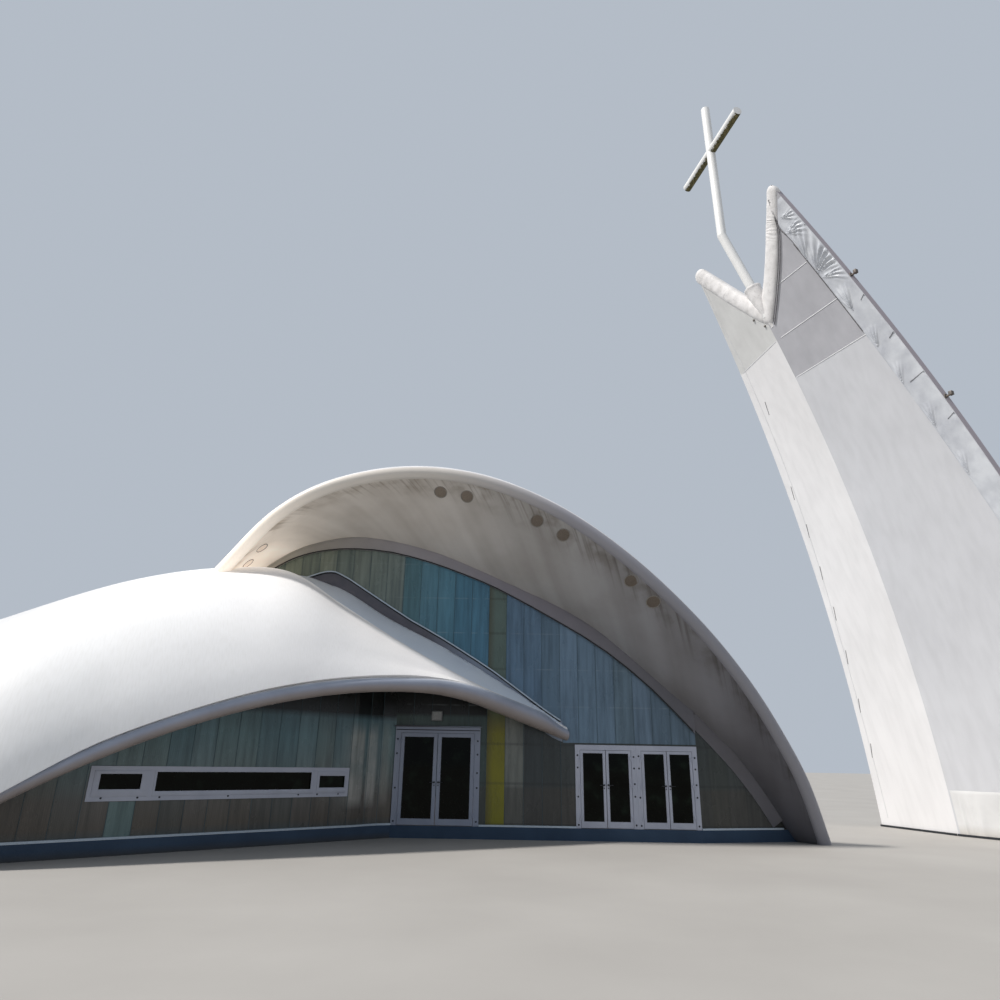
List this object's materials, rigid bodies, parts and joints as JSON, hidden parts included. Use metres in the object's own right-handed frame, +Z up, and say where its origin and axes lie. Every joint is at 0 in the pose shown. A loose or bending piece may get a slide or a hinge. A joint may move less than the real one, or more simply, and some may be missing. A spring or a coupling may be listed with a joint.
{
  "type": "modern church building",
  "caption": "Free-form church with a saddle-shaped membrane roof over a glazed hall, a low shell-roofed wing, double doors and a leaning two-faced tower that carries a cross.",
  "frame": {"origin": "underside of the hall's floor slab, in the middle of the hall, at the lowest ground level", "axes": "+X along the glazed front to the right, +Y from the front to the back of the hall, +Z up"},
  "size_m": [33.9606, 26.3934, 26.5227],
  "materials": {
    "membrane": "white coated membrane, matt, with faint seams and dirt",
    "rim_edge": "smooth white coated edge tube",
    "wall_panel": "translucent ribbed panels, teal, slate and olive, satin",
    "yellow_panel": "translucent yellow panel, satin",
    "head_band": "dark grey sheet, satin",
    "flashing": "dark folded sheet, satin",
    "door_metal": "pale grey powder-coated aluminium",
    "clear_glass": "dark reflecting glass",
    "plinth": "dark blue-grey concrete plinth",
    "floor": "smooth concrete floor",
    "lamp": "grey box light",
    "cross_metal": "white painted tube, weathered"
  },
  "bodies": {
    "building": {"hall_floor": "floor", "wing_floor": "plinth", "roof_left_foot": "membrane", "roof_left_shoulder": "membrane", "roof_crown": "membrane", "roof_right_shoulder": "membrane", "roof_right_foot": "membrane", "front_rim": "rim_edge", "back_rim": "rim_edge", "wing_rim": "rim_edge", "front_wall_over_wing": "wall_panel", "front_wall_over_door_1": "wall_panel", "front_wall_left_bay": "wall_panel", "front_wall_middle": "wall_panel", "front_wall_over_doors_2_3": "wall_panel", "front_wall_right": "wall_panel", "back_wall_left": "wall_panel", "back_wall_middle": "wall_panel", "back_wall_right": "wall_panel", "back_wall_left_end": "wall_panel", "back_wall_right_end": "wall_panel", "wing_wall_left": "wall_panel", "wing_wall_below_window": "wall_panel", "wing_wall_above_window": "wall_panel", "wing_wall_right": "wall_panel", "wing_wall_corner": "wall_panel", "front_wall_yellow_panel": "yellow_panel", "head_band_front": "head_band", "head_band_back": "head_band", "flashing_panel": "flashing", "wing_roof_left_end": "membrane", "wing_roof_left": "membrane", "wing_roof_middle": "membrane", "wing_roof_right": "membrane", "strip_window_frame": "door_metal", "strip_window_glass": "clear_glass", "door_1_frame": "door_metal", "door_2_frame": "door_metal", "door_3_frame": "door_metal", "door_light_box": "lamp", "tower_left_face": "membrane", "tower_right_face": "membrane", "cross": "cross_metal"},
    "door_1_left": {"door_1_left_leaf": "door_metal", "door_1_left_glass": "clear_glass"},
    "door_1_right": {"door_1_right_leaf": "door_metal", "door_1_right_glass": "clear_glass"},
    "door_2_left": {"door_2_left_leaf": "door_metal", "door_2_left_glass": "clear_glass"},
    "door_2_right": {"door_2_right_leaf": "door_metal", "door_2_right_glass": "clear_glass"},
    "door_3_left": {"door_3_left_leaf": "door_metal", "door_3_left_glass": "clear_glass"},
    "door_3_right": {"door_3_right_leaf": "door_metal", "door_3_right_glass": "clear_glass"}
  },
  "joints": [
    {"name": "door_1_left_hinge", "type": "hinge", "parent": "building", "child": "door_1_left", "pos_m": [-1.353, -8.052, 0.312], "axis": [0, 0, -1], "range_deg": [0, 90]},
    {"name": "door_1_right_hinge", "type": "hinge", "parent": "building", "child": "door_1_right", "pos_m": [0.629, -8.052, 0.312], "axis": [0, 0, 1], "range_deg": [0, 90]},
    {"name": "door_2_left_hinge", "type": "hinge", "parent": "building", "child": "door_2_left", "pos_m": [3.464, -8.052, 0.312], "axis": [0, 0, -1], "range_deg": [0, 90]},
    {"name": "door_2_right_hinge", "type": "hinge", "parent": "building", "child": "door_2_right", "pos_m": [4.831, -8.052, 0.312], "axis": [0, 0, 1], "range_deg": [0, 90]},
    {"name": "door_3_left_hinge", "type": "hinge", "parent": "building", "child": "door_3_left", "pos_m": [5.1, -8.052, 0.312], "axis": [0, 0, -1], "range_deg": [0, 90]},
    {"name": "door_3_right_hinge", "type": "hinge", "parent": "building", "child": "door_3_right", "pos_m": [6.466, -8.052, 0.312], "axis": [0, 0, 1], "range_deg": [0, 90]}
  ]
}
